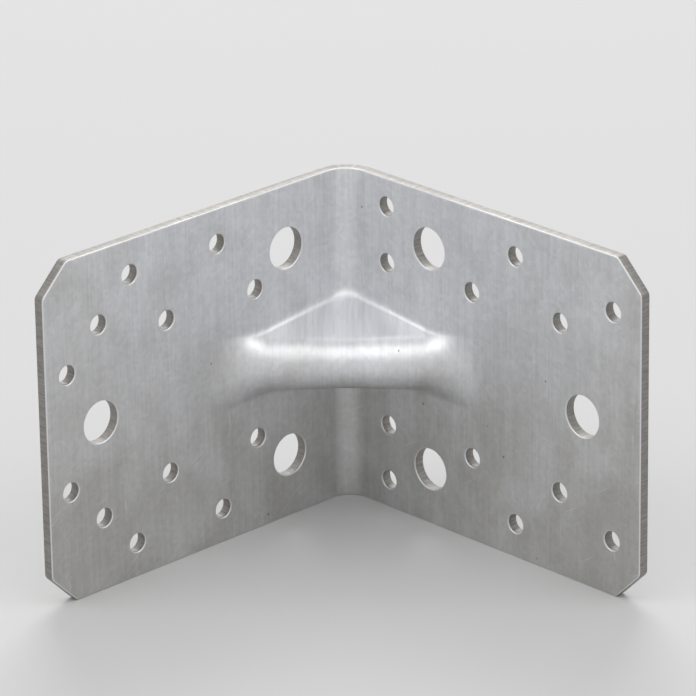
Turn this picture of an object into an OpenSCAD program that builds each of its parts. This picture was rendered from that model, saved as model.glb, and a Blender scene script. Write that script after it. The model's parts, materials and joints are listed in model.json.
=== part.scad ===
// Reinforced corner bracket, punched and folded from one sheet of galvanised steel.
// It stands on its side edges with the fold upright. The right leg runs along +X and
// the left leg along -Y. The origin is the middle of the footprint, on the ground.

/* [Sheet] */
// Length of the right leg, from the outside of the fold
right_leg = 105; // [95:1:150]
// Length of the left leg, from the outside of the fold
left_leg = 105; // [95:1:150]
// Height of the bracket along its fold
height = 90; // [84:1:140]
// Thickness of the sheet
sheet_t = 3; // [2:0.5:4]
// Radius inside the fold
fold_r = 6; // [3:0.5:10]
// Size of the 45 degree cut on each free corner
corner_cut = 8; // [3:0.5:10]
// Radius at each end of a corner cut
corner_r = 2; // [0.5:0.5:3]

/* [Rib] */
// How far the crest stands off the inner corner, along the line that halves the fold
rib_rise = 28; // [20:1:30]
// Half the width of the rib where it starts to rise from a leg
rib_half_w = 10; // [8:0.5:11]
// Radius at the foot of the rib, where it meets the plain sheet
rib_foot_r = 2.5; // [1.5:0.5:4]
// Lean of the rib's flanks
rib_draft = 11; // [4:1:14]
// Radius with which the crest runs out into each leg
rib_end_r = 24; // [12:1:26]

/* [Holes] */
// Diameter of the bolt holes
bolt_d = 11; // [8:0.5:13]
// Diameter of the nail holes
nail_d = 5; // [4:0.25:6]

/* [Right leg pattern] */
// Bolt pair: from the fold, from the side edge
right_bolts = [32.5, 15]; // [12:0.5:40]
// Single bolt on the middle line: from the free end
right_bolt_end = 19.5; // [14:0.5:28]
// Nail pair beside the fold: from the fold, from the middle line
right_nails_fold = [17.5, 22.2]; // [15:0.1:25]
// Nail pair beside the fold, near the edges: from the fold, from the side edge
right_nails_heel = [17.5, 7.6]; // [6:0.1:20]
// Nail pair past the rib: from the fold, from the middle line
right_nails_rib = [47.5, 22.4]; // [18:0.1:50]
// Nail pair half way along: from the fold, from the side edge
right_nails_mid = [62.6, 9.1]; // [6:0.1:70]
// Nail pair beside the single bolt: from the free end, from the middle line
right_nails_bolt = [27.2, 22.6]; // [15:0.1:30]
// Nail pair by the free end: from the free end, from the side edge
right_nails_end = [9.4, 14.7]; // [7:0.1:20]

/* [Left leg pattern] */
// Bolt pair: from the fold, from the side edge
left_bolts = [24.1, 16.8]; // [12:0.1:30]
// Single bolt on the middle line: from the free end
left_bolt_end = 17.5; // [14:0.5:28]
// Nail pair beside the rib: from the fold, from the middle line
left_nails_rib = [35, 20.2]; // [18:0.1:40]
// Nail pair past the bolts: from the fold, from the side edge
left_nails_heel = [47.5, 9.2]; // [6:0.1:50]
// Nail pair half way along: from the fold, from the middle line
left_nails_mid = [65, 20.5]; // [16:0.1:70]
// First of the three slanting nail pairs: from the free end, from the side edge
left_nails_slant = [28.3, 9.1]; // [7:0.1:32]
// Step from one slanting pair to the next: towards the free end, towards the middle
slant_step = [10.6, 10.2]; // [9:0.1:11]

/* [Hidden] */
steel = [0.72, 0.73, 0.74];
fine = 96;
overlap = 1;

// The flat part of each leg starts where the fold ends
fold_end = sheet_t + fold_r;
mid_z = height / 2;

// Hole rows of a leg: [from the fold, half the spacing of the pair, diameter]
function rise_of(from_edge) = mid_z - from_edge;
right_rows = [
    [right_bolts[0], rise_of(right_bolts[1]), bolt_d],
    [right_leg - right_bolt_end, 0, bolt_d],
    [right_nails_fold[0], right_nails_fold[1], nail_d],
    [right_nails_heel[0], rise_of(right_nails_heel[1]), nail_d],
    [right_nails_rib[0], right_nails_rib[1], nail_d],
    [right_nails_mid[0], rise_of(right_nails_mid[1]), nail_d],
    [right_leg - right_nails_bolt[0], right_nails_bolt[1], nail_d],
    [right_leg - right_nails_end[0], rise_of(right_nails_end[1]), nail_d],
];
left_rows = concat(
    [
        [left_bolts[0], rise_of(left_bolts[1]), bolt_d],
        [left_leg - left_bolt_end, 0, bolt_d],
        [left_nails_rib[0], left_nails_rib[1], nail_d],
        [left_nails_heel[0], rise_of(left_nails_heel[1]), nail_d],
        [left_nails_mid[0], left_nails_mid[1], nail_d],
    ],
    [
        for (i = [0:2])
            [
                left_leg - left_nails_slant[0] + i * slant_step[0],
                rise_of(left_nails_slant[1] + i * slant_step[1]),
                nail_d
            ]
    ]
);

// The rib is drawn in its own axes: x runs across the fold, towards the right leg,
// f runs from the sharp inner corner out between the legs, and z runs up from mid height.

// Inside face of the plain folded sheet: the legs lie on f = |x|, the fold is an arc
function sheet_f(x) =
    abs(x) < fold_r * sin(45)
        ? fold_r * sqrt(2) - sqrt(fold_r * fold_r - x * x)
        : abs(x);

// Rows in the fold, at even steps of turn to each side of its middle
fold_steps = 8;
fold_xs = [for (i = [-fold_steps:fold_steps]) fold_r * sin(45 * i / fold_steps)];

// Crest of the rib: a straight chord from leg to leg, with an arc into each leg
crest_turn_x = rib_rise - rib_end_r * tan(22.5);
crest_end_x = crest_turn_x + rib_end_r * sin(45);
function crest_f(x) =
    abs(x) < crest_turn_x ? rib_rise
    : abs(x) < crest_end_x
        ? rib_rise + rib_end_r - sqrt(rib_end_r * rib_end_r - pow(abs(x) - crest_turn_x, 2))
        : abs(x);

// A section across the rib is a nose arc, a straight flank and a foot arc. A low section
// has no flank: there the nose opens up until it meets the foot, and the width stays the
// same.
steepest = 90 - rib_draft;
low_rise = 0.001;
least_lean = 0.01;
function lean(rise) = min(2 * atan(rise / rib_half_w), steepest);
function flank_len(rise) =
    max(0, rise - rib_half_w * tan(steepest / 2)) / sin(steepest);
function arc_sum(rise) = rib_half_w / sin(max(lean(rise), least_lean));
function nose_r(rise) = arc_sum(rise) - rib_foot_r;
function half_w(rise) = rib_half_w + flank_len(rise) * cos(steepest);

// How far along the section a point lies, as lengths of nose, flank and foot. The arcs
// count more than once, so that they get more of the points.
nose_weight = 3;
foot_weight = 6;
function nose_w(rise) = nose_weight * nose_r(rise) * lean(rise) * PI / 180;
function foot_w(rise) = foot_weight * rib_foot_r * lean(rise) * PI / 180;

// Point of the section at share k: [z, height above the plain sheet]
function section(rise, k) =
    rise < low_rise ? [rib_half_w * k, 0]
    : let (
        a = nose_w(rise),
        b = flank_len(rise),
        c = foot_w(rise),
        s = k * (a + b + c),
        w = half_w(rise),
        turn = lean(rise)
    )
    s < a
        ? let (t = turn * s / a) [nose_r(rise) * sin(t), rise - nose_r(rise) * (1 - cos(t))]
    : s < a + b
        ? let (p = s - a)
            [
                nose_r(rise) * sin(turn) + p * cos(turn),
                rise - nose_r(rise) * (1 - cos(turn)) - p * sin(turn)
            ]
    : let (t = turn * (a + b + c - s) / c)
        [w - rib_foot_r * sin(t), rib_foot_r * (1 - cos(t))];

// Window of the folded sheet that the rib's patch fills: half its height, and how far it
// reaches along each leg from the sharp inner corner, both in whole millimetres
patch_rim = 1;
patch_half_h = ceil(half_w(rib_rise - sheet_f(0)) + patch_rim);
patch_reach = ceil(crest_end_x * sqrt(2) + patch_rim);
patch_x = patch_reach / sqrt(2);

// Points of the patch. Rows run across the fold: even steps of turn in the fold, then
// even steps along each leg. Columns run up the section, then over the flat rim.
leg_rows = 15;
section_cols = 13;
rim_cols = 1;
fold_x = fold_r * sin(45);
leg_xs = [for (i = [1:leg_rows]) fold_x + (patch_x - fold_x) * i / leg_rows];
rows = concat(
    [for (i = [leg_rows - 1:-1:0]) -leg_xs[i]],
    fold_xs,
    leg_xs
);
last_col = section_cols + rim_cols;
cols = [for (j = [-last_col:last_col]) j];

// Point of the bulging face at row x and column c
function bulge_point(x, c) =
    let (
        rise = max(0, crest_f(x) - sheet_f(x)),
        a = abs(c),
        p = a <= section_cols
            ? section(rise, a / section_cols)
            : let (w = half_w(rise))
                [w + (patch_half_h - w) * (a - section_cols) / rim_cols, 0]
    )
    [x, sheet_f(x) + p[1], c < 0 ? -p[0] : p[0]];

// Unit vector from the bulging face through the sheet: across two small steps along the
// face on the rib, and square to the plain sheet on the rim
probe = 0.01;
function through(x, c) =
    abs(c) >= section_cols
        ? let (turn = abs(x) < fold_r * sin(45) ? asin(x / fold_r) : 45 * sign(x))
            [sin(turn), -cos(turn), 0]
        : let (
            along = bulge_point(x + probe, c) - bulge_point(x - probe, c),
            up = bulge_point(x, c + probe) - bulge_point(x, c - probe),
            n = cross(along, up)
        )
            (n[1] > 0 ? -n : n) / norm(n);

// From the rib's axes to the part's, brought to the micron so that faces that meet share
// their corners
micron = 0.001;
inner_corner = [sheet_t, -sheet_t, mid_z];
function placed(p) =
    let (q = inner_corner + [(p[0] + p[1]) / sqrt(2), (p[0] - p[1]) / sqrt(2), p[2]])
    [for (v = q) micron * round(v / micron)];
function front_point(x, c) = placed(bulge_point(x, c));
function back_point(x, c) = placed(bulge_point(x, c) + sheet_t * through(x, c));

// Flat leg from the end of the fold to its free end, with cut and rounded corners
module leg(leg_len) {
    tangent = corner_r * tan(22.5);
    slant = tangent * sin(45);
    cut_x = leg_len - corner_cut;
    rotate([90, 0, 0])
        linear_extrude(height = sheet_t)
            union() {
                polygon([
                    [fold_end, 0],
                    [cut_x - tangent, 0],
                    [cut_x + slant, slant],
                    [leg_len - slant, corner_cut - slant],
                    [leg_len, corner_cut + tangent],
                    [leg_len, height - corner_cut - tangent],
                    [leg_len - slant, height - corner_cut + slant],
                    [cut_x + slant, height - slant],
                    [cut_x - tangent, height],
                    [fold_end, height]
                ]);
                for (y = [corner_r, height - corner_r])
                    translate([cut_x - tangent, y])
                        circle(r = corner_r, $fn = fine);
                for (y = [corner_cut + tangent, height - corner_cut - tangent])
                    translate([leg_len - corner_r, y])
                        circle(r = corner_r, $fn = fine);
            }
}

// Fold between the legs: its outline has the corners of the rib's rim there
module fold() {
    function flat(p) = [p[0], p[1]];
    linear_extrude(height = height)
        polygon(concat(
            [for (x = fold_xs) flat(front_point(x, last_col))],
            [for (i = [len(fold_xs) - 1:-1:0]) flat(back_point(fold_xs[i], last_col))]
        ));
}

// Holes of one leg, drilled square through it: a pair, or one hole on the middle line
module drilled(rows) {
    for (row = rows)
        for (side = row[1] > 0 ? [-1, 1] : [0])
            translate([row[0], overlap, mid_z + side * row[1]])
                rotate([90, 0, 0])
                    cylinder(d = row[2], h = sheet_t + 2 * overlap, $fn = fine);
}

// Everything that is drawn on the right leg, turned over on to the left one
module on_left_leg() {
    mirror([1, 1, 0])
        children();
}

module window() {
    reach = sheet_t + patch_reach;
    translate([-overlap, -reach, mid_z - patch_half_h])
        cube([reach + overlap, reach + overlap, 2 * patch_half_h]);
}

// Pressed rib: the sheet pushed out between the legs at its full thickness
module rib() {
    row_n = len(rows);
    col_n = len(cols);
    front = [for (x = rows) for (c = cols) front_point(x, c)];
    back = [for (x = rows) for (c = cols) back_point(x, c)];
    function at(i, j) = i * col_n + j;
    function behind(i, j) = row_n * col_n + at(i, j);
    faces = concat(
        [
            for (i = [0:row_n - 2]) for (j = [0:col_n - 2])
                each [
                    [at(i, j), at(i, j + 1), at(i + 1, j + 1)],
                    [at(i, j), at(i + 1, j + 1), at(i + 1, j)],
                    [behind(i, j), behind(i + 1, j + 1), behind(i, j + 1)],
                    [behind(i, j), behind(i + 1, j), behind(i + 1, j + 1)]
                ]
        ],
        [
            for (i = [0:row_n - 2])
                let (top = col_n - 1)
                each [
                    [at(i, 0), at(i + 1, 0), behind(i + 1, 0), behind(i, 0)],
                    [at(i + 1, top), at(i, top), behind(i, top), behind(i + 1, top)]
                ]
        ],
        [
            for (j = [0:col_n - 2])
                let (end = row_n - 1)
                each [
                    [at(0, j + 1), at(0, j), behind(0, j), behind(0, j + 1)],
                    [at(end, j), at(end, j + 1), behind(end, j + 1), behind(end, j)]
                ]
        ]
    );
    polyhedron(points = concat(front, back), faces = faces);
}

module bracket() {
    color(steel)
        translate([-right_leg / 2, left_leg / 2, 0])
            difference() {
                union() {
                    difference() {
                        union() {
                            leg(right_leg);
                            on_left_leg() leg(left_leg);
                            fold();
                        }
                        window();
                    }
                    rib();
                }
                drilled(right_rows);
                on_left_leg() drilled(left_rows);
            }
}

bracket();
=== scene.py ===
"""Looks of a reinforced corner bracket: one sheet of galvanised steel, punched and folded,
with a rib pressed across the inside of its fold. It stands on its side edges with the fold
upright, in the frame of its CAD part. Lengths are in metres."""

import json

import bmesh
import bpy
import numpy as np
from mathutils import Matrix, Vector
from mathutils.geometry import delaunay_2d_cdt


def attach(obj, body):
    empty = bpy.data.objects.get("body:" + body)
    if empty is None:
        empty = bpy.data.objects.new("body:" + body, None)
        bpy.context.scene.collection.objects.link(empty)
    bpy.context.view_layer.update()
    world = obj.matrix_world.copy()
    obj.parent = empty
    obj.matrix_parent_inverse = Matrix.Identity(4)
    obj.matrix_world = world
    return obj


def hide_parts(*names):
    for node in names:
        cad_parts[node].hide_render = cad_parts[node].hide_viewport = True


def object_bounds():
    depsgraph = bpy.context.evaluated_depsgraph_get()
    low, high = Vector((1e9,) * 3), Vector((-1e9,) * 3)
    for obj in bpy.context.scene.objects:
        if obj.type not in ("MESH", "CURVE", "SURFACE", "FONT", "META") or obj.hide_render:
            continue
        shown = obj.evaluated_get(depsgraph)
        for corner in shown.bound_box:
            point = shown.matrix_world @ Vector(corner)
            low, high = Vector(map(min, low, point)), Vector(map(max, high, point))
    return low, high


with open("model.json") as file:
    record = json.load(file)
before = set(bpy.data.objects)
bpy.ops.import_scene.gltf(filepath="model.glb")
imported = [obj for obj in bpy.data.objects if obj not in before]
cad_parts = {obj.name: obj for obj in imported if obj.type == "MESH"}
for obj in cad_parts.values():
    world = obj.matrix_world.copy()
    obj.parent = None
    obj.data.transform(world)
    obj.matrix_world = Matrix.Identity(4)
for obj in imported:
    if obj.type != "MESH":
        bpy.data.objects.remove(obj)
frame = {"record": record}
cad_low, cad_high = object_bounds()

MM = 0.001

# The sheet, as the CAD part has it
SHEET_T = 3 * MM
FOLD_R = 6 * MM
CORNER_CUT = 8 * MM
CORNER_R = 2 * MM
HALF_H = (cad_high.z - cad_low.z) / 2
LEG_RIGHT = cad_high.x - cad_low.x
LEG_LEFT = cad_high.y - cad_low.y
HALF_ARC = FOLD_R * np.pi / 4
FLAT_RIGHT = LEG_RIGHT - SHEET_T - FOLD_R
FLAT_LEFT = LEG_LEFT - SHEET_T - FOLD_R

# The rib, in its own axes: x across the fold towards the right leg, f from the sharp inner
# corner out between the legs, z up from mid height
RIB_RISE = 28 * MM
RIB_HALF_W = 10 * MM
RIB_FOOT_R = 2.5 * MM
RIB_FOOT_R_FOLD = 3.4 * MM
RIB_STEEPEST = np.radians(90 - 11)
RIB_END_R = 24 * MM
WINDOW_HALF_H = 15 * MM
WINDOW_REACH = 51 * MM
DIAGONAL = np.sqrt(0.5)

# Height above the plain sheet at which the press has fully burnished the rib
BURNISH_RISE = 7 * MM

# How fine the surfaces are
FOLD_STEPS = 12
FOLD_MARGIN = 1.5 * MM
FOLD_LEVELS = 13
WINDOW_LEG_ROWS = 64
SECTION_COLS = 40
RIM_COLS = 3
NOSE_WEIGHT, FOOT_WEIGHT = 2.0, 6.0
CORNER_POINTS = 7
EDGE_STEP = 3 * MM
BOLT_SIDES, NAIL_SIDES = 64, 40
NAIL_R_MOST = 4 * MM

# Small steps and limits of the working
PROBE_RUN, PROBE_COL = 1e-4, 1e-2
LEAST_RISE = 1e-9
LEAST_TWICE_AREA_MM2 = 1e-4
MERGE_MM = 1e-6
WELD = 2e-6

# How the press left the edges: distance in from the edge, depth through the sheet, and how
# much of it is cut metal (1) or rolled skin (0). From the inside face: flat skin, a rolled
# corner, a smooth land, a slightly tapered tear, a small broken corner and flat skin
ROLL_R = 0.35 * MM
ROLL = [(ROLL_R * (1 - np.sin(t)), ROLL_R * (1 - np.cos(t)), t / (np.pi / 2))
        for t in np.linspace(0, np.pi / 2, 6)]
SHEARED_EDGE = np.array(
    [(1.1 * MM, 0, 0), (0.8 * MM, 0, 0)]
    + ROLL
    + [(0, 1.3 * MM, 1), (0.04 * MM, 1.45 * MM, 1), (0.1 * MM, 2.85 * MM, 1),
       (0.16 * MM, SHEET_T - 0.04 * MM, 1), (0.28 * MM, SHEET_T, 0.4),
       (0.8 * MM, SHEET_T, 0), (1.1 * MM, SHEET_T, 0)]
)
INSET = SHEARED_EDGE[0, 0]

# Real size in millimetres of each pattern of the steel, across, up and through the sheet,
# and its turn from upright in degrees
PATTERNS = {
    "streaks": (0.7, 26, 1, 0),
    "bands": (5, 90, 1, 0),
    "grains": (1.2, 1.2, 1, 0),
    "clouds": (18, 22, 1, 0),
    "upright scratches": (0.35, 15, 1, 4),
    "slanting scratches": (0.35, 15, 1, -58),
    "specks": (6, 6, 1, 0),
    "tears": (0.4, 0.4, 4, 0),
    "waves": (24, 30, 1, 0),
    "ripples": (7, 6, 1, 0),
}

# The photograph's width in pixels, its scale at the sharp inner corner in pixels per metre,
# and half the width of the floor
PHOTO_WIDTH = 696
PHOTO_SCALE = 3910.2
FLOOR_HALF = 6.0


def from_rib_axes(x, f, z):
    """Rib axes to the part's: x and f turned by 45 degrees about the sharp inner corner."""
    corner_x = cad_low.x + SHEET_T
    corner_y = cad_high.y - SHEET_T
    return np.stack(np.broadcast_arrays(
        corner_x + (x + f) * DIAGONAL,
        corner_y + (x - f) * DIAGONAL,
        cad_low.z + HALF_H + z,
    ), axis=-1)


def sheet_place(run, z, depth):
    """Places on the unfolded sheet: along the inside face from the middle of the fold, up from
    mid height, and through the sheet from its inside face."""
    return np.stack(np.broadcast_arrays(run, z, depth), axis=-1)


def plain_sheet(run, depth):
    """The folded sheet without its rib, in rib axes (x, f). run goes along the inside face
    from the middle of the fold: an arc of radius FOLD_R + depth about the fold's centre,
    then straight along each leg. depth goes from the inside face through the sheet."""
    turn = np.clip(run, -HALF_ARC, HALF_ARC) / FOLD_R
    past = np.maximum(np.abs(run) - HALF_ARC, 0) * DIAGONAL
    radius = FOLD_R + depth
    x = radius * np.sin(turn) + past * np.sign(run)
    f = FOLD_R / DIAGONAL - radius * np.cos(turn) + past
    return x, f


def folded(place):
    """Points of the plain folded sheet at places on the unfolded one."""
    return from_rib_axes(*plain_sheet(place[..., 0], place[..., 2]), place[..., 1])


def crest(x):
    """Crest of the rib: f = RIB_RISE, with an arc of RIB_END_R down into each leg."""
    turn_x = RIB_RISE - RIB_END_R * np.tan(np.pi / 8)
    end_x = turn_x + RIB_END_R * DIAGONAL
    past = np.clip(np.abs(x) - turn_x, 0, end_x - turn_x)
    arc = RIB_RISE + RIB_END_R - np.sqrt(RIB_END_R**2 - past**2)
    return np.where(np.abs(x) < end_x, arc, np.abs(x))


def rib_section(rise, share):
    """Half a section of the rib: z and height above the plain sheet at a share of its
    length. It is a nose arc, a straight flank and a foot arc, which widens towards the fold;
    where the rise is low, the nose opens up until it meets the foot, and the width stays
    the same."""
    rise = np.maximum(rise, LEAST_RISE)
    lean = np.minimum(2 * np.arctan(rise / RIB_HALF_W), RIB_STEEPEST)
    flank_rise = np.maximum(0, rise - RIB_HALF_W * np.tan(RIB_STEEPEST / 2))
    flank = flank_rise / np.sin(RIB_STEEPEST)
    arcs = RIB_HALF_W / np.sin(lean)
    foot = RIB_FOOT_R + (RIB_FOOT_R_FOLD - RIB_FOOT_R) * (rise / RIB_RISE) ** 2
    foot = np.minimum(foot, arcs / 2)
    nose = arcs - foot
    nose_len, foot_len = NOSE_WEIGHT * nose * lean, FOOT_WEIGHT * foot * lean
    along = share * (nose_len + flank + foot_len)
    on_nose = np.clip(along / nose_len, 0, 1) * lean
    on_flank = np.clip(along - nose_len, 0, flank)
    on_foot = lean * (1 - np.clip((along - nose_len - flank) / foot_len, 0, 1))
    z = (nose * np.sin(on_nose) + on_flank * np.cos(lean)
         + foot * (np.sin(lean) - np.sin(on_foot)))
    height = (rise - nose * (1 - np.cos(on_nose)) - on_flank * np.sin(lean)
              - foot * (np.cos(on_foot) - np.cos(lean)))
    return z, height


def rib_face(run, col):
    """Inside face in the window round the rib, in rib axes (x, f, z). Columns up to
    SECTION_COLS go up the section; the next RIM_COLS go over the flat rim."""
    x, f = plain_sheet(run, 0)
    rise = np.maximum(0, crest(x) - f)
    z, height = rib_section(rise, np.minimum(np.abs(col) / SECTION_COLS, 1))
    over_rim = np.maximum(np.abs(col) - SECTION_COLS, 0) / RIM_COLS
    z = z + (WINDOW_HALF_H - z) * over_rim
    return np.stack(np.broadcast_arrays(x, f + height, np.sign(col) * z), axis=-1)


def rib_through(run, col):
    """Unit vector from the inside face through the sheet: across two small steps along the
    face, and square to the plain sheet on the rim."""
    along = rib_face(run + PROBE_RUN, col) - rib_face(run - PROBE_RUN, col)
    up = rib_face(run, col + PROBE_COL) - rib_face(run, col - PROBE_COL)
    n = np.cross(along, up)
    n = n / np.linalg.norm(n, axis=-1, keepdims=True)
    n = np.where(n[..., 1:2] > 0, -n, n)
    turn = np.clip(run, -HALF_ARC, HALF_ARC) / FOLD_R
    plain = np.stack(np.broadcast_arrays(np.sin(turn), -np.cos(turn), 0 * col), axis=-1)
    return np.where(np.abs(col)[..., None] >= SECTION_COLS, plain, n)


class Net:
    """Collects grids and triangles of one closed surface: points, their places on the
    unfolded sheet, and how far each is cut metal or burnished by the press, from 0 to 1."""

    def __init__(self):
        self.points, self.places, self.faces, self.count = [], [], [], 0
        self.cut, self.pressed = [], []

    def add(self, places, faces, cut=0.0, pressed=0.0, points=None):
        """Faces between places of the sheet, which lie folded unless points says where."""
        self.points.append(folded(places) if points is None else points)
        self.places.append(places)
        self.cut.append(np.broadcast_to(cut, len(places)))
        self.pressed.append(np.broadcast_to(pressed, len(places)))
        self.faces += (faces + self.count).tolist()
        self.count += len(places)

    def grid(self, places, cut=0.0, pressed=0.0, points=None, closed=False):
        """Quads between the rows and columns of an array of places. closed joins the last row
        to the first."""
        rows, cols = places.shape[:2]
        index = np.arange(rows * cols).reshape(rows, cols)
        if closed:
            index = np.vstack([index, index[:1]])
        corners = index[:-1, :-1], index[1:, :-1], index[1:, 1:], index[:-1, 1:]
        faces = np.stack(corners, axis=-1).reshape(-1, 4)
        cut, pressed = (np.broadcast_to(share, (rows, cols)).ravel() for share in (cut, pressed))
        points = None if points is None else points.reshape(-1, 3)
        self.add(places.reshape(-1, 3), faces, cut, pressed, points)


def fold_runs():
    """Stations across the fold, with a margin of flat leg on each side."""
    turns = np.linspace(-HALF_ARC, HALF_ARC, 2 * FOLD_STEPS + 1)
    edge = HALF_ARC + FOLD_MARGIN
    return np.concatenate([[-edge], turns, [edge]])


def fold_levels():
    """Levels of the fold between the rib's window and the rim of the top edge."""
    return np.linspace(WINDOW_HALF_H, HALF_H - INSET, FOLD_LEVELS)


def window_runs():
    """Stations along the window: across the fold, then in even steps along each leg."""
    across = fold_runs()
    reach = HALF_ARC + WINDOW_REACH - FOLD_R
    leg = np.linspace(across[-1], reach, WINDOW_LEG_ROWS + 1)[1:]
    return np.concatenate([-leg[::-1], across, leg])


def window_cols():
    """Columns of the window from its lower edge to its upper one, with 0 on the crest."""
    last = SECTION_COLS + RIM_COLS
    return np.arange(-last, last + 1).astype(float)


def level_row(runs, z, into):
    """Points at one height over stations, and the same unit vector at each."""
    return np.stack([runs, np.full_like(runs, z)], axis=1), np.tile(into, (len(runs), 1))


def straight(start, end, into):
    """Points between two corners, without either, in steps of about EDGE_STEP, and the same
    unit vector at each."""
    start, end = np.array(start), np.array(end)
    n = max(2, int(np.linalg.norm(end - start) / EDGE_STEP) + 2)
    share = np.linspace(0, 1, n)[1:-1, None]
    return start + (end - start) * share, np.tile(into, (n - 2, 1))


def corner_cut(end_run, side, level):
    """A cut corner in clockwise order: an arc of CORNER_R, the slant, and an arc again. side
    is 1 on the right leg and -1 on the left, and level is 1 at the top and -1 below."""
    tangent = CORNER_R * np.tan(np.pi / 8)
    arc = np.linspace(0, np.pi / 4, CORNER_POINTS)
    centres = [(end_run - side * (CORNER_CUT + tangent), level * (HALF_H - CORNER_R)),
               (end_run - side * CORNER_R, level * (HALF_H - CORNER_CUT - tangent))]
    loops, ways = [], []
    for (run, z), turn in zip(centres, (arc, arc + np.pi / 4)):
        out_run, out_z = side * np.sin(turn), level * np.cos(turn)
        loops.append(np.stack([run + CORNER_R * out_run, z + CORNER_R * out_z], axis=1))
        ways.append(np.stack([-out_run, -out_z], axis=1))
    if side * level < 0:
        loops = [loop[::-1] for loop in loops[::-1]]
        ways = [way[::-1] for way in ways[::-1]]
    slant = straight(loops[0][-1], loops[1][0], ways[0][-1])
    return [(loops[0], ways[0]), slant, (loops[1], ways[1])]


def outline():
    """Edge of the flat sheet: points (run, z) and unit vectors into the sheet, clockwise
    from the left end of the fold's top edge."""
    reach = CORNER_CUT + CORNER_R * np.tan(np.pi / 8)
    right, left = HALF_ARC + FLAT_RIGHT, -(HALF_ARC + FLAT_LEFT)
    top, bottom = HALF_H, -HALF_H
    across = fold_runs()
    parts = [
        level_row(across, top, (0.0, -1.0)),
        straight((across[-1], top), (right - reach, top), (0.0, -1.0)),
        *corner_cut(right, 1, 1),
        straight((right, top - reach), (right, bottom + reach), (-1.0, 0.0)),
        *corner_cut(right, 1, -1),
        straight((right - reach, bottom), (across[-1], bottom), (0.0, 1.0)),
        level_row(across[::-1], bottom, (0.0, 1.0)),
        straight((across[0], bottom), (left + reach, bottom), (0.0, 1.0)),
        *corner_cut(left, -1, -1),
        straight((left, bottom + reach), (left, top - reach), (1.0, 0.0)),
        *corner_cut(left, -1, 1),
        straight((left + reach, top), (across[0], top), (0.0, -1.0)),
    ]
    points, inward = zip(*parts)
    return np.concatenate(points), np.concatenate(inward)


def holes():
    """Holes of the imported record: [run, z, radius]. The right leg's holes point along y. A
    pair lies at half its spacing above and below the middle line."""
    found = []
    for mount in frame["record"]["mounts"]:
        dims = mount["dims"]
        radius = dims.get("hole_r_mm", dims.get("r_mm"))
        if radius is None:
            continue
        if abs(mount["axis"][1]) > abs(mount["axis"][0]):
            run = mount["pos_m"][0] - cad_low.x - SHEET_T - FOLD_R + HALF_ARC
        else:
            run = mount["pos_m"][1] - cad_high.y + SHEET_T + FOLD_R - HALF_ARC
        half = dims.get("spacing_y_mm", 0) / 2
        for z in ([-half, half] if half else [0.0]):
            found.append((run, z * MM, radius * MM))
    return np.array(found)


def hole_edge(run, z, radius):
    """Points round a hole, and unit vectors out into the sheet."""
    sides = BOLT_SIDES if radius > NAIL_R_MOST else NAIL_SIDES
    turn = np.linspace(0, 2 * np.pi, sides, endpoint=False)
    out = np.stack([np.cos(turn), np.sin(turn)], axis=1)
    return np.array([run, z]) + radius * out, out


def sweep_edge(net, points, inward):
    """The sheared edge's profile carried round a closed edge of the flat sheet."""
    inset, depth, cut = SHEARED_EDGE.T
    run = points[:, :1] + inward[:, :1] * inset
    z = points[:, 1:] + inward[:, 1:] * inset
    net.grid(sheet_place(run, z, depth), cut, closed=True)


def leg_points(side, rim):
    """Points (run, z) that bound a leg's flat part, its holes apart: the rib's window, the
    seam with the fold and the rim, each point once."""
    reach = HALF_ARC + WINDOW_REACH - FOLD_R
    margin = HALF_ARC + FOLD_MARGIN
    runs = window_runs()
    runs = runs[runs * side >= margin - WELD]
    cols = rib_face(side * reach, window_cols())[:, 2]
    levels = np.concatenate([fold_levels(), -fold_levels()])
    points = np.concatenate([
        np.stack([runs, np.full_like(runs, WINDOW_HALF_H)], axis=1),
        np.stack([runs, np.full_like(runs, -WINDOW_HALF_H)], axis=1),
        np.stack([np.full(len(cols), side * reach), cols], axis=1),
        np.stack([np.full_like(levels, side * margin), levels], axis=1),
        rim[rim[:, 0] * side >= margin - WELD],
    ])
    _, first = np.unique(np.round(points / WELD), axis=0, return_index=True)
    return points[first]


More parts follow.
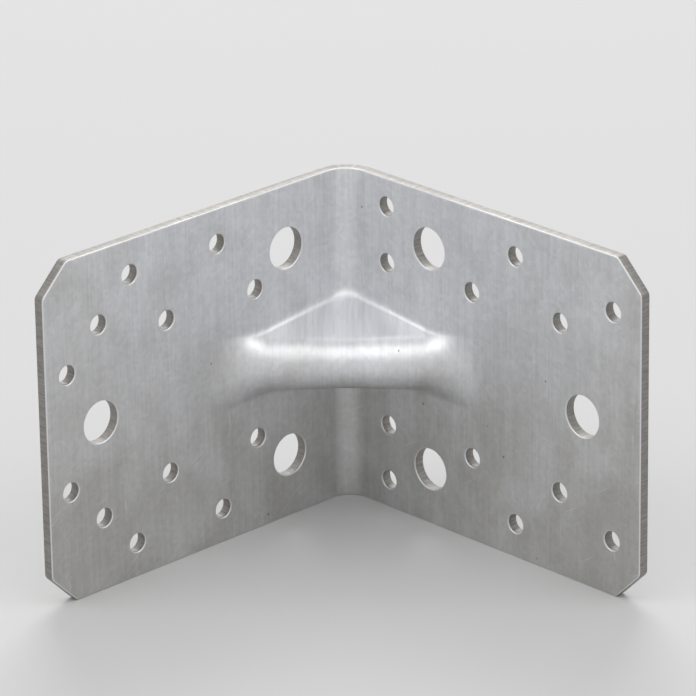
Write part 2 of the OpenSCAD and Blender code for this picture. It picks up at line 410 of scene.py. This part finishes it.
def flat_leg(net, side, rim, hole_rows):
    """Both faces of one leg, between its rim, the fold, the rib's window and its holes: the
    flat triangles that join those edges, without those inside the window or a hole."""
    loose = leg_points(side, rim)
    rings = []
    for row in hole_rows[hole_rows[:, 0] * side > 0]:
        points, out = hole_edge(*row)
        rings.append(points + out * INSET)
    points = np.concatenate([loose] + rings) / MM
    ring_of = np.concatenate(
        [np.full(len(loose), -1)] + [np.full(len(ring), i) for i, ring in enumerate(rings)])
    edges, start = [], len(loose)
    for ring in rings:
        index = np.arange(len(ring))
        edges.append(start + np.stack([index, (index + 1) % len(ring)], axis=1))
        start += len(ring)
    corners, edges = [Vector(point) for point in points], np.concatenate(edges).tolist()
    # The empty list is for faces, of which there are none, and 0 asks for every triangle
    made = delaunay_2d_cdt(corners, edges, [], 0, MERGE_MM)
    flat, tris = np.array([corner[:] for corner in made[0]]), np.array(made[2])
    ring_of = ring_of[[ids[0] for ids in made[3]]]
    across, up = (flat[tris[:, k]] - flat[tris[:, 0]] for k in (1, 2))
    twice_area = np.abs(across[:, 0] * up[:, 1] - across[:, 1] * up[:, 0])
    middle = flat[tris].mean(axis=1) * MM
    reach = HALF_ARC + WINDOW_REACH - FOLD_R
    in_window = (np.abs(middle[:, 1]) < WINDOW_HALF_H) & (middle[:, 0] * side < reach)
    rings_met = ring_of[tris]
    in_hole = (rings_met[:, 0] >= 0) & (rings_met == rings_met[:, :1]).all(axis=1)
    tris = tris[(twice_area > LEAST_TWICE_AREA_MM2) & ~in_window & ~in_hole]
    flat = flat * MM
    for depth in (0.0, SHEET_T):
        net.add(sheet_place(flat[:, 0], flat[:, 1], depth), tris)


def build_bracket():
    """The bracket's whole surface: its sheared outline and holes, the flats of both legs,
    the fold above and below the window, and the window with the rib. The back of the window
    lies SHEET_T through the sheet from its face, square to it."""
    net = Net()
    edge, inward = outline()
    hole_rows = holes()
    sweep_edge(net, edge, inward)
    for row in hole_rows:
        sweep_edge(net, *hole_edge(*row))
    rim = edge + inward * INSET
    for side in (-1, 1):
        flat_leg(net, side, rim, hole_rows)
    across = fold_runs()[:, None]
    for level in (1, -1):
        for depth in (0.0, SHEET_T):
            net.grid(sheet_place(across, level * fold_levels()[None, :], depth))
    run, col = window_runs()[:, None], window_cols()[None, :]
    face = rib_face(run, col)
    back = face + SHEET_T * rib_through(run, col)
    pressed = np.clip((face[..., 1] - plain_sheet(run, 0)[1]) / BURNISH_RISE, 0, 1)
    for depth, side in ((0.0, face), (SHEET_T, back)):
        points = from_rib_axes(*np.moveaxis(side, -1, 0))
        net.grid(sheet_place(run, face[..., 2], depth), pressed=pressed, points=points)
    return net


def mesh_of(net, name):
    """One closed mesh: doubles merged, faces outwards, smooth. It carries the net's finish
    and its places on the unfolded sheet as attributes for the material."""
    mesh = bpy.data.meshes.new(name)
    mesh.from_pydata(np.concatenate(net.points).tolist(), [], net.faces)
    for finish, shares in (("cut_metal", net.cut), ("pressed", net.pressed)):
        share = mesh.attributes.new(finish, "FLOAT", "POINT")
        share.data.foreach_set("value", np.concatenate(shares).astype(np.float32))
    place = mesh.attributes.new("sheet_place", "FLOAT_VECTOR", "POINT")
    place.data.foreach_set("vector", np.concatenate(net.places).astype(np.float32).ravel())
    form = bmesh.new()
    form.from_mesh(mesh)
    bmesh.ops.remove_doubles(form, verts=form.verts, dist=WELD)
    bmesh.ops.recalc_face_normals(form, faces=form.faces)
    form.to_mesh(mesh)
    form.free()
    mesh.shade_smooth()
    return mesh


def linear(hex_colour):
    """sRGB hex to linear RGBA."""
    v = np.array([int(hex_colour[i:i + 2], 16) for i in (1, 3, 5)]) / 255
    v = np.where(v <= 0.04045, v / 12.92, ((v + 0.055) / 1.055) ** 2.4)
    return (*v.tolist(), 1.0)


def add_node(tree, kind, inputs=None, **settings):
    """Adds a shader node and returns its outputs. settings are its own properties. inputs,
    by name or number, are either other nodes' outputs, which are linked, or plain values."""
    node = tree.nodes.new("ShaderNode" + kind)
    for name, value in settings.items():
        setattr(node, name, value)
    for socket, value in (inputs or {}).items():
        if isinstance(value, bpy.types.NodeSocket):
            tree.links.new(value, node.inputs[socket])
        else:
            node.inputs[socket].default_value = value
    return node.outputs


def new_tree(name):
    """A new material and its empty node tree."""
    material = bpy.data.materials.new(name)
    material.use_nodes = True
    material.node_tree.nodes.clear()
    return material, material.node_tree


def galvanised_steel():
    """Sheet steel, zinc-coated by hot dip at the mill and skin-rolled, then punched and
    pressed cold. The zinc is a satin grey with faint streaks along the rolling direction,
    soft clouds where the air has dulled it, painted shade that darkens it towards the lower
    edge and the free ends, fine scratches and a few specks. The press burnished the rib and
    the rolled rims, and tore bare steel, darker and rougher, below each rim."""
    material, tree = new_tree("galvanised_steel")
    place = add_node(tree, "Attribute", attribute_name="sheet_place")["Vector"]
    cut = add_node(tree, "Attribute", attribute_name="cut_metal")["Fac"]
    pressed = add_node(tree, "Attribute", attribute_name="pressed")["Fac"]
    at = {}
    for name, (*size, turn) in PATTERNS.items():
        at[name] = add_node(tree, "Mapping", {
            "Vector": place, "Rotation": (0, 0, np.radians(turn)),
            "Scale": [length * MM for length in size]}, vector_type="TEXTURE")[0]

    # Streaks of the skin rolls, as fine as the render can show, the strip's broader bands,
    # and the zinc grains of a flattened spangle
    streaks = add_node(tree, "TexNoise", {
        "Vector": at["streaks"], "Scale": 1.0, "Detail": 3.0, "Roughness": 0.6})[0]
    bands = add_node(tree, "TexNoise", {"Vector": at["bands"], "Scale": 1.0, "Detail": 2.0})[0]
    spangle = add_node(tree, "TexVoronoi", {"Vector": at["grains"], "Scale": 1.0})
    grain = add_node(tree, "SeparateColor", {0: spangle["Color"]})[0]

    # Dull clouds at random, and painted shade: darker towards the lower edge and the free ends
    clouds = add_node(tree, "TexNoise", {
        "Vector": at["clouds"], "Scale": 1.0, "Detail": 4.0, "Distortion": 0.4})[0]
    run, height, _ = add_node(tree, "SeparateXYZ", {0: place})
    run = add_node(tree, "Math", {0: run}, operation="ABSOLUTE")[0]
    # far and low are painted shade: darker towards the free ends and towards the lower edge
    far = add_node(tree, "MapRange", {"Value": run, "From Min": 55 * MM, "From Max": 105 * MM},
                   interpolation_type="SMOOTHSTEP")[0]
    low = add_node(tree, "MapRange", {"Value": height, "From Min": 25 * MM, "From Max": -35 * MM},
                   interpolation_type="SMOOTHSTEP")[0]
    clouds_and_painted_shade = -0.6
    for part, share in ((clouds, 1.3), (far, 0.35), (low, 0.7)):
        clouds_and_painted_shade = add_node(tree, "Math", {0: part, 1: share, 2: clouds_and_painted_shade}, operation="MULTIPLY_ADD")[0]
    clouds_and_painted_shade = add_node(tree, "Clamp", {0: clouds_and_painted_shade})[0]

    # Handling scratches, nearly upright and aslant, and specks of about 0.5 mm, one in a
    # quarter of the cells
    scratches = []
    for name in ("upright scratches", "slanting scratches"):
        lines = add_node(tree, "TexNoise", {"Vector": at[name], "Scale": 1.0, "Detail": 1.0})[0]
        scratches.append(add_node(tree, "MapRange", {
            "Value": lines, "From Min": 0.72, "From Max": 0.8})[0])
    scratch = add_node(tree, "Math", {0: scratches[0], 1: scratches[1]}, operation="MAXIMUM")[0]
    dots = add_node(tree, "TexVoronoi", {"Vector": at["specks"], "Scale": 1.0})
    near = add_node(tree, "MapRange", {
        "Value": dots["Distance"], "From Min": 0.07, "From Max": 0.03})[0]
    picked = add_node(tree, "SeparateColor", {0: dots["Color"]})[1]
    picked = add_node(tree, "Math", {0: picked, 1: 0.75}, operation="GREATER_THAN")[0]
    speck = add_node(tree, "Math", {0: near, 1: picked}, operation="MULTIPLY")[0]

    # Tone about 1: up to 28, 16 and 9 parts in a hundred from streaks, bands and grains
    tone = 0.735
    for part, share in ((streaks, 0.28), (bands, 0.16), (grain, 0.09)):
        tone = add_node(tree, "Math", {0: part, 1: share, 2: tone}, operation="MULTIPLY_ADD")[0]

    # Where the sheet was cut, a burnished rim above bare steel torn in fine lines
    rim = add_node(tree, "MapRange", {"Value": cut, "From Max": 0.3})[0]
    bare = add_node(tree, "MapRange", {"Value": cut, "From Min": 0.55, "From Max": 0.95})[0]
    torn = add_node(tree, "TexNoise", {"Vector": at["tears"], "Scale": 1.0, "Detail": 2.0})[0]

    # A colour Mix node takes its colours at 6 and 7, and gives the mix at 2
    steel = add_node(tree, "Mix", {
        0: torn, 6: linear("#6E6B68"), 7: linear("#B2AFAB")}, data_type="RGBA")[2]
    # The zinc goes to a darker, warmer grey with the clouds and with the painted shade towards
    # the lower edge and the free ends
    zinc = add_node(tree, "Mix", {
        0: clouds_and_painted_shade, 6: linear("#E8E9EC"), 7: linear("#BFBEBB")}, data_type="RGBA")[2]
    colour = add_node(tree, "HueSaturation", {"Color": zinc, "Value": tone})[0]
    for share, laid in ((scratch, linear("#E9EAEC")), (speck, linear("#8C8985")),
                        (rim, linear("#E4E5E7")), (bare, steel)):
        colour = add_node(tree, "Mix", {0: share, 6: colour, 7: laid}, data_type="RGBA")[2]

    rough = 0.4
    for part, share in ((clouds_and_painted_shade, 0.1), (streaks, 0.1), (bare, 0.12), (pressed, -0.07)):
        rough = add_node(tree, "Math", {0: part, 1: share, 2: rough}, operation="MULTIPLY_ADD")[0]

    # Relief: the sheet's slight waves, the rib's ripples where it stretched unevenly, and
    # the fine marks of rolls, scratches and specks
    waves = add_node(tree, "TexNoise", {"Vector": at["waves"], "Scale": 1.0, "Detail": 1.0})[0]
    relief = add_node(tree, "Bump", {"Height": waves, "Distance": 0.25 * MM})[0]
    ripples = add_node(tree, "TexNoise", {
        "Vector": at["ripples"], "Scale": 1.0, "Detail": 2.0})[0]
    relief = add_node(tree, "Bump", {
        "Strength": pressed, "Height": ripples, "Distance": 0.3 * MM, "Normal": relief})[0]
    marks = streaks
    for part, share in ((scratch, -0.8), (speck, -2.0)):
        marks = add_node(tree, "Math", {0: part, 1: share, 2: marks}, operation="MULTIPLY_ADD")[0]
    relief = add_node(tree, "Bump", {
        "Height": marks, "Distance": 0.012 * MM, "Normal": relief})[0]

    shader = add_node(tree, "BsdfPrincipled", {
        "Base Color": colour, "Metallic": 1.0, "Roughness": rough, "Normal": relief})
    add_node(tree, "OutputMaterial", {"Surface": shader[0]})
    return material


def studio_paper():
    """Matt pale grey backdrop paper, which shows the bracket's shadow."""
    material, tree = new_tree("studio_paper")
    matt = add_node(tree, "BsdfDiffuse", {"Color": linear("#C0C0C0")})
    add_node(tree, "OutputMaterial", {"Surface": matt[0]})
    return material


def make_bracket():
    """The dressed sheet, which stands for the CAD part's one node."""
    bracket = bpy.data.objects.new("bracket_sheet", mesh_of(build_bracket(), "bracket_sheet"))
    bpy.context.scene.collection.objects.link(bracket)
    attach(bracket, "root")
    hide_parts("bracket")
    bracket.data.materials.append(galvanised_steel())


def make_floor():
    """A flat sheet of paper far wider than the view."""
    ends = ((-1, -1), (1, -1), (1, 1), (-1, 1))
    corners = [(x * FLOOR_HALF, y * FLOOR_HALF, 0) for x, y in ends]
    mesh = bpy.data.meshes.new("floor")
    mesh.from_pydata(corners, [], [(0, 1, 2, 3)])
    mesh.materials.append(studio_paper())
    floor = bpy.data.objects.new("floor", mesh)
    bpy.context.scene.collection.objects.link(floor)


def make_world(level):
    """Even white light from all sides."""
    world = bpy.data.worlds.new("studio")
    bpy.context.scene.world = world
    world.use_nodes = True
    tree = world.node_tree
    tree.nodes.clear()
    white = add_node(tree, "Background", {"Color": (1, 1, 1, 1), "Strength": level})
    add_node(tree, "OutputWorld", {"Surface": white[0]})


def direction(turned, raised):
    """Unit vector towards a viewpoint, given in degrees: turned about the upright axis from
    the front, -y, towards +x, and raised from level."""
    turned, raised = np.radians([turned, raised])
    return np.array([np.sin(turned) * np.cos(raised), -np.cos(turned) * np.cos(raised),
                     np.sin(raised)])


def soft_lamp(name, turned, raised, distance, size, level):
    """A square softbox in a direction from the bracket, which it faces. level is what it
    alone would give a white card that faces it."""
    way = Vector(direction(turned, raised))
    middle = (cad_low + cad_high) / 2
    lamp = bpy.data.lights.new(name, "AREA")
    lamp.shape = "SQUARE"
    lamp.size = size
    lamp.energy = level * (np.pi * distance) ** 2
    holder = bpy.data.objects.new(name, lamp)
    bpy.context.scene.collection.objects.link(holder)
    facing = way.to_track_quat("Z", "Y").to_matrix().to_4x4()
    holder.matrix_world = Matrix.Translation(middle + way * distance) @ facing


def make_camera():
    """The photograph's viewpoint: turned and raised about the rib, rolled a little, and
    aimed just beside the sharp inner corner at mid height."""
    turned, raised, rolled = 46.12, 22.06, np.radians(0.84)
    distance, aim_right, aim_up = 1.358, -0.04 * MM, 4.68 * MM
    back = direction(turned, raised)
    level = np.array([np.cos(np.radians(turned)), np.sin(np.radians(turned)), 0])
    rise = np.cross(back, level)
    right = level * np.cos(rolled) - rise * np.sin(rolled)
    up = level * np.sin(rolled) + rise * np.cos(rolled)
    place = from_rib_axes(0, 0, 0) + back * distance - aim_right * right - aim_up * up
    camera = bpy.data.cameras.new("camera")
    camera.lens = PHOTO_SCALE * distance * camera.sensor_width / PHOTO_WIDTH
    camera.clip_start, camera.clip_end = 0.05, 50
    holder = bpy.data.objects.new("camera", camera)
    bpy.context.scene.collection.objects.link(holder)
    axes_and_place = np.stack([right, up, back, place], axis=1).tolist()
    holder.matrix_world = Matrix(axes_and_place + [[0, 0, 0, 1]])
    bpy.context.scene.camera = holder


make_bracket()
make_floor()
make_world(level=0.76)
soft_lamp("window_behind", 225, 40, distance=2.2, size=1.2, level=0.55)
soft_lamp("softbox_above", 45, 60, distance=0.6, size=0.5, level=0.14)
soft_lamp("softbox_right", 118, 48, distance=2.2, size=1.2, level=0.17)
soft_lamp("softbox_left", -27, 48, distance=2.2, size=1.2, level=0.19)
make_camera()
bpy.context.scene.view_settings.view_transform = "Standard"
